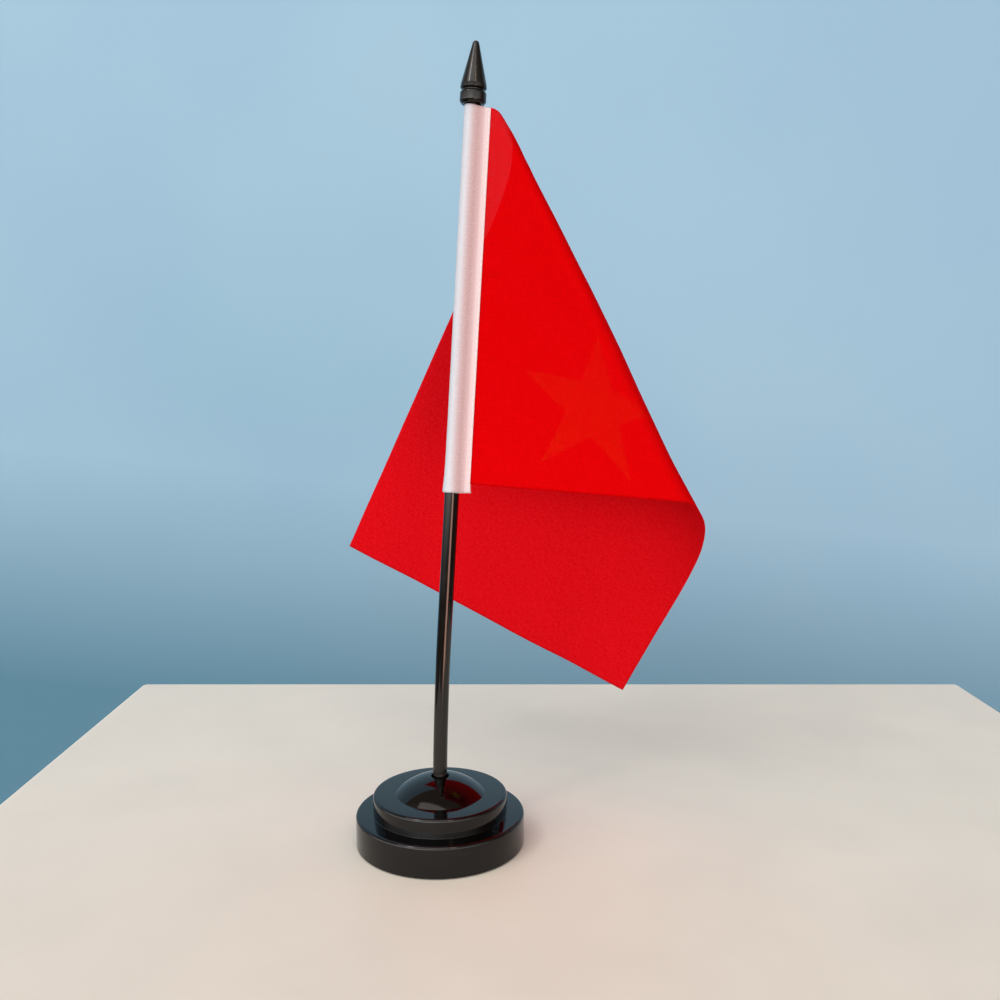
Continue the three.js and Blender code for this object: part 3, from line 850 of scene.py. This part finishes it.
def make_stage():
    """A plain table top under the stand, and a plain wall behind it."""
    bm = bmesh.new()
    bmesh.ops.create_cube(bm, size=1.0)
    table = bpy.data.meshes.new("table_top")
    bm.to_mesh(table)
    bm.free()
    left, right, near, far, depth = -0.19, 0.296, -0.20, 0.207, 0.024
    table.transform(Matrix.Translation(((left + right) / 2, (near + far) / 2, -depth / 2))
                    @ Matrix.Diagonal((right - left, far - near, depth, 1)))
    top = bpy.data.objects.new("table_top", table)
    rounding = top.modifiers.new("rounding", "BEVEL")
    rounding.width, rounding.segments = 0.004, 5
    table.materials.append(plain("table_paint", (0.79, 0.745, 0.67), 0.45, 0.02))
    wall = bpy.data.meshes.new("backdrop")
    back, low, high, side = 0.62, -0.9, 1.5, 1.8
    wall.from_pydata([(-side, back, low), (side, back, low),
                      (side, back, high), (-side, back, high)], [], [(0, 1, 2, 3)])
    backdrop = bpy.data.objects.new("backdrop", wall)
    wall.materials.append(wall_paint())
    for piece in (top, backdrop):
        bpy.context.scene.collection.objects.link(piece)


STAND_MIDDLE = Vector((0, 0, 0.12))


def soft_light(name, place, size, power, colour):
    """A rectangular light that faces the middle of the stand."""
    data = bpy.data.lights.new(name, "AREA")
    data.shape = "RECTANGLE"
    data.size, data.size_y = size
    data.energy, data.color = power, colour
    light = bpy.data.objects.new(name, data)
    light.location = place
    light.visible_camera = False
    light.rotation_euler = (STAND_MIDDLE - Vector(place)).to_track_quat("-Z", "Y").to_euler()
    bpy.context.scene.collection.objects.link(light)


class Room(Graph):
    """The world's node tree, built with the same short calls."""

    def __init__(self, name):
        world = bpy.data.worlds.new(name)
        world.use_nodes = True
        self.tree = world.node_tree
        self.background = self.tree.nodes["Background"]
        bpy.context.scene.world = world


def make_lights():
    """Soft studio lights, in a room that glows a little more where it faces the stand's front."""
    soft_light("high_light", (-0.45, -0.95, 1.95), (2.4, 1.3), 16.0, (1.0, 0.96, 0.91))
    soft_light("left_strip", (-0.85, -0.88, 1.30), (0.20, 0.45), 2.8, (1.0, 1.0, 1.0))
    soft_light("right_strip", (0.45, -1.10, 1.15), (0.16, 0.40), 1.2, (1.0, 0.74, 0.55))
    room = Room("room")
    way = room.add("TexCoord").outputs["Generated"]
    height = room.add("SeparateXYZ", {"Vector": way}).outputs[2]
    above = room.ramp(height, -0.15, 0.05)
    band = room.math("MULTIPLY", above, room.ramp(height, 0.46, 0.12, 0.22, 1.0))
    glow = room.mix(above, (0.12, 0.09, 0.07), (0.28, 0.205, 0.155))
    # Brighter ways: towards, the cosines where each starts and is full, its limit and its colour
    sides = (((-0.74, -0.65, 0.16), 0.42, 0.92, band, (2.75, 2.78, 2.82)),
             ((0.10, -0.99, 0.10), 0.20, 0.95, band, (2.6, 2.56, 2.5)),
             ((0.36, -0.90, -0.25), 0.965, 0.990, 1.0, (7.0, 3.7, 2.9)))
    for toward, low, high, limit, colour in sides:
        facing = room.add("VectorMath", {0: way, 1: toward}, operation="DOT_PRODUCT")
        share = room.add("MapRange", {"Value": facing.outputs["Value"], "From Min": low,
                                      "From Max": high}, interpolation_type="SMOOTHSTEP")
        glow = room.mix(room.math("MULTIPLY", share, limit), glow, colour, "ADD")
    room.feed(room.background.inputs["Color"], glow)


# ---------------------------------------------------------------------------------------------
# The scene
# ---------------------------------------------------------------------------------------------
make_camera()
make_stage()
make_lights()
make_base()
make_pad()
make_pole()
make_finial()
make_sleeve()
make_cloth()
make_stitches()

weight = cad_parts["base_weight"]
iron = cast_iron()
for material_slot in weight.material_slots:
    material_slot.material = iron

bpy.context.scene.view_settings.view_transform = "Standard"
